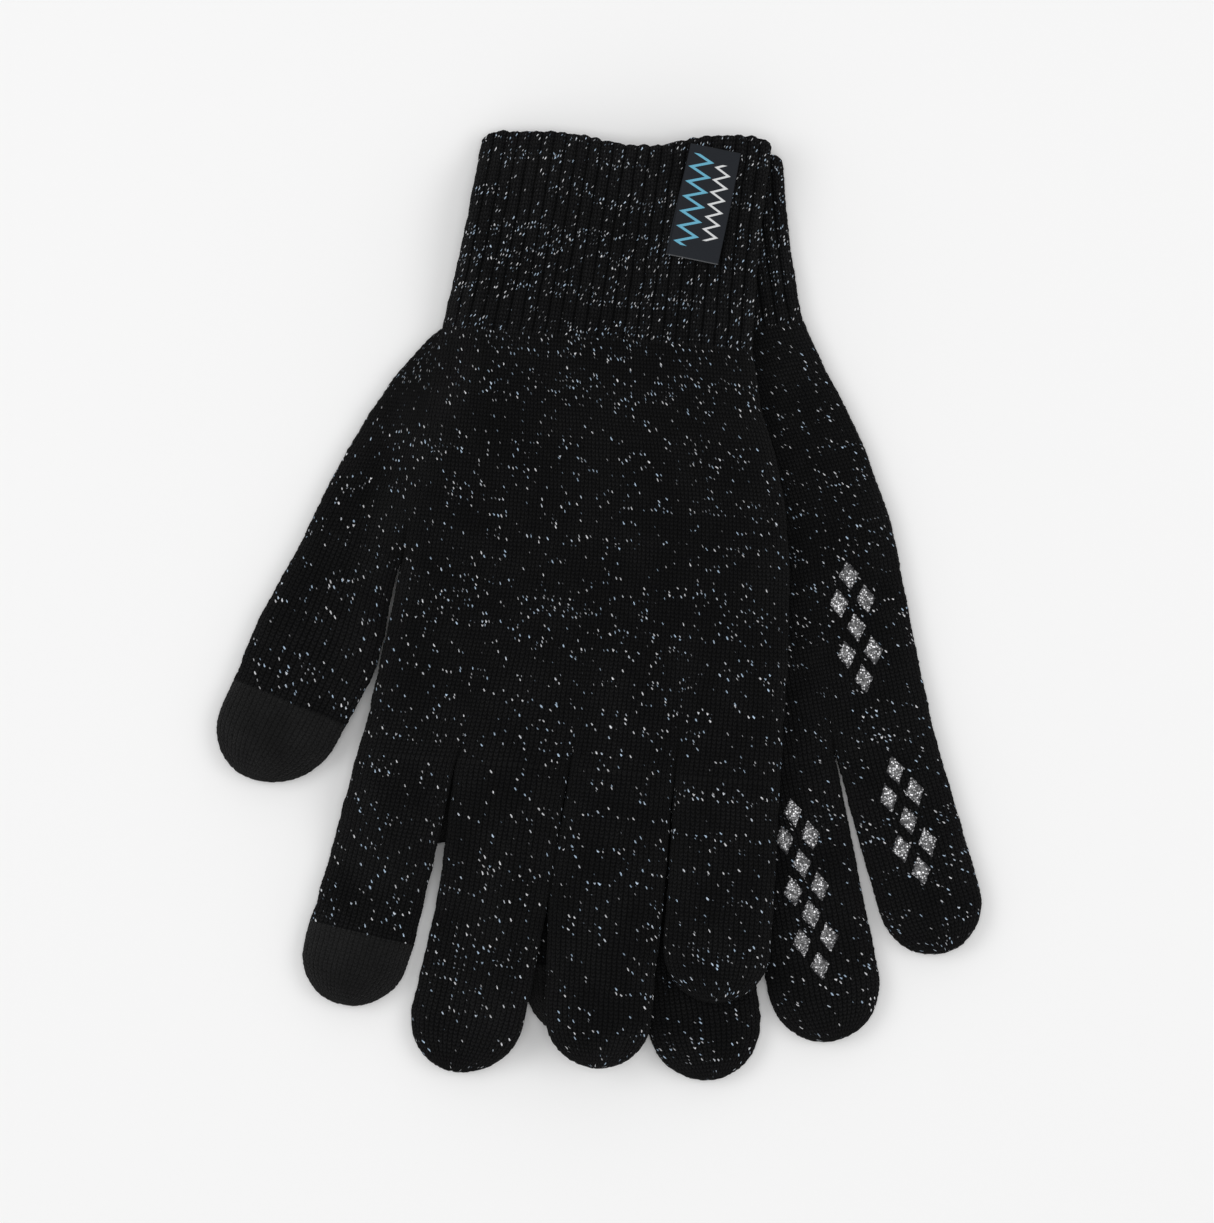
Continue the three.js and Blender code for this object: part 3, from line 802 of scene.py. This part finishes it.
def add_label():
    """A narrow woven tape, folded at its lower end, with its two ends lying on top of the rim."""
    direction, square = axes(LABEL["lean"])
    length, width = LABEL["length"], LABEL["width"]
    along = np.linspace(0, 2 * length, 180)[:, None]
    across = np.linspace(0, width, 41)[None, :]
    upper = along <= length
    down = np.where(upper, along, 2 * length - along)
    slip = np.where(upper, 0.0, 0.5) * smooth(2 * length - along, 0, length)
    side = across - width / 2 - slip + 0.25 * np.sin(down / length * 3.3) * (across / width - 0.5)
    u = LABEL["u"] + (down - length / 2) * direction[0] + side * square[0]
    v = LABEL["v"] + (down - length / 2) * direction[1] + side * square[1]
    x, y = to_world("left", u, v)
    at_fold = 1 - smooth(np.abs(along - length), 0, 0.8)
    wave = 0.10 * np.sin(down / length * 5.1 + 0.6) + 0.25 * (across / width - 0.5) ** 2 * np.sin(down / 3.0)
    low, high = LABEL_LAYERS
    z = STACK + THICK + lerp(np.where(upper, high, low), (low + high) / 2, at_fold) + wave
    points = np.stack([x, y, z], -1).reshape(-1, 3)
    across, along = np.broadcast_arrays(across, along)
    uvs = np.stack([across, along], -1).reshape(-1, 2)
    piece = make_mesh("left_label_tape", points, uvs, quads(np.arange(x.size).reshape(x.shape)), label_weave)
    thicken = piece.modifiers.new("thickness", "SOLIDIFY")
    thicken.thickness = LABEL["thick"] * MM
    thicken.offset = 0.0
    return piece


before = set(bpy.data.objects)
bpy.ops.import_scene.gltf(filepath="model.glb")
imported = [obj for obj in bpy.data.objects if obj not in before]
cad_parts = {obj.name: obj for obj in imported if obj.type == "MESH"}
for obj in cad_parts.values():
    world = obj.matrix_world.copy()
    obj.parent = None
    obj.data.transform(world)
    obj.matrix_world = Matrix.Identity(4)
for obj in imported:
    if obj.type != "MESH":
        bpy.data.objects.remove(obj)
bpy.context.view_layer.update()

knit = knitted("black_knit", (0.0012, 0.0012, 0.0014, 1), (0.016, 0.016, 0.0165, 1), True)
rib_knit = knitted(
    "black_rib", (0.0008, 0.0008, 0.001, 1), (0.021, 0.021, 0.022, 1), True, ribbed=True, density=1.3
)
touch = knitted(
    "black_touch_knit", (0.002, 0.002, 0.002, 1), (0.023, 0.023, 0.0233, 1), False, fuzz=1.6, sheen=0.05
)
grip = glitter()
label_weave = woven()

for hand in ("right", "left"):
    body = f"{hand}_glove"
    palm = add_hand(hand)
    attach(palm, body)
    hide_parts(f"{hand}_hand_tube")
    cuff = add_cuff(hand)
    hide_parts(f"{hand}_cuff_rib", f"{hand}_cuff_welt")
    if hand == "left":
        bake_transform(cuff)
    else:
        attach(cuff, body)
    for name in ["thumb", *FOUR]:
        moving = hand == "left" or name == "little"
        for piece, node in add_finger(hand, name):
            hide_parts(node)
            if not moving:
                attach(piece, body)
            elif "touch" in node:
                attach(piece, f"{hand}_{name}")
            else:
                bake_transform(piece)

# Each column of prints starts at a plan point, and has a lean, a number of rows and a number of diamonds.
for name, height, u, v, lean, rows, count in [
    ("palm", lambda u, v: hand_height("right", u, v), 35.8, 60.2, -2.2, 5, 7),
    ("ring", lambda u, v: finger_height("right", "ring", u, v), 12.9, 111.9, -0.5, 7, 10),
    ("little", lambda u, v: finger_height("right", "little", u, v), 38.1, 106.6, 4.0, 5, 7),
]:
    prints = add_grips(f"right_{name}_grips", height, u, v, lean, rows)
    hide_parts(*(f"right_{name}_grip_{i + 1}" for i in range(count)))
    if name == "little":
        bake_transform(prints)
    else:
        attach(prints, "right_glove")

label = add_label()
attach(label, "left_cuff")
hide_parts("left_cuff_label")

# ---- Table, light and camera ----
bpy.ops.mesh.primitive_plane_add(size=TABLE_SIZE)
table = bpy.context.object
table.name = "table"
table.data.materials.append(plain("pale_table", (0.93, 0.93, 0.93, 1), 0.9))

bpy.context.scene.view_settings.view_transform = "Standard"
world = bpy.data.worlds.new("studio")
world.use_nodes = True
world.node_tree.nodes["Background"].inputs["Color"].default_value = (1, 1, 1, 1)
world.node_tree.nodes["Background"].inputs["Strength"].default_value = 0.5
bpy.context.scene.world = world


def add_light(name, place, size, power):
    light = bpy.data.lights.new(name, "AREA")
    light.shape = "DISK"
    light.size = size
    light.energy = power
    lamp = bpy.data.objects.new(name, light)
    lamp.location = place
    aim = np.array(place)
    lamp.rotation_euler = (
        math.acos(aim[2] / np.linalg.norm(aim)),
        0,
        math.atan2(aim[1], aim[0]) + math.pi / 2,
    )
    bpy.context.scene.collection.objects.link(lamp)


add_light("softbox_left", (-0.9, 0.25, 1.3), 0.9, 4.6)
add_light("softbox_right", (0.9, 0.05, 1.3), 0.9, 3.6)
add_light("softbox_above", (0.0, -0.05, 2.1), 0.9, 11.5)

camera_data = bpy.data.cameras.new("camera")
camera_data.sensor_fit = "HORIZONTAL"
camera_data.sensor_width = SENSOR
camera_data.lens = SENSOR * CAMERA_DISTANCE / VIEW_WIDTH
camera_data.clip_end = 10
camera = bpy.data.objects.new("camera", camera_data)
camera.location = (*VIEW_CENTRE, CAMERA_DISTANCE + VIEW_HEIGHT)
bpy.context.scene.collection.objects.link(camera)
bpy.context.scene.camera = camera
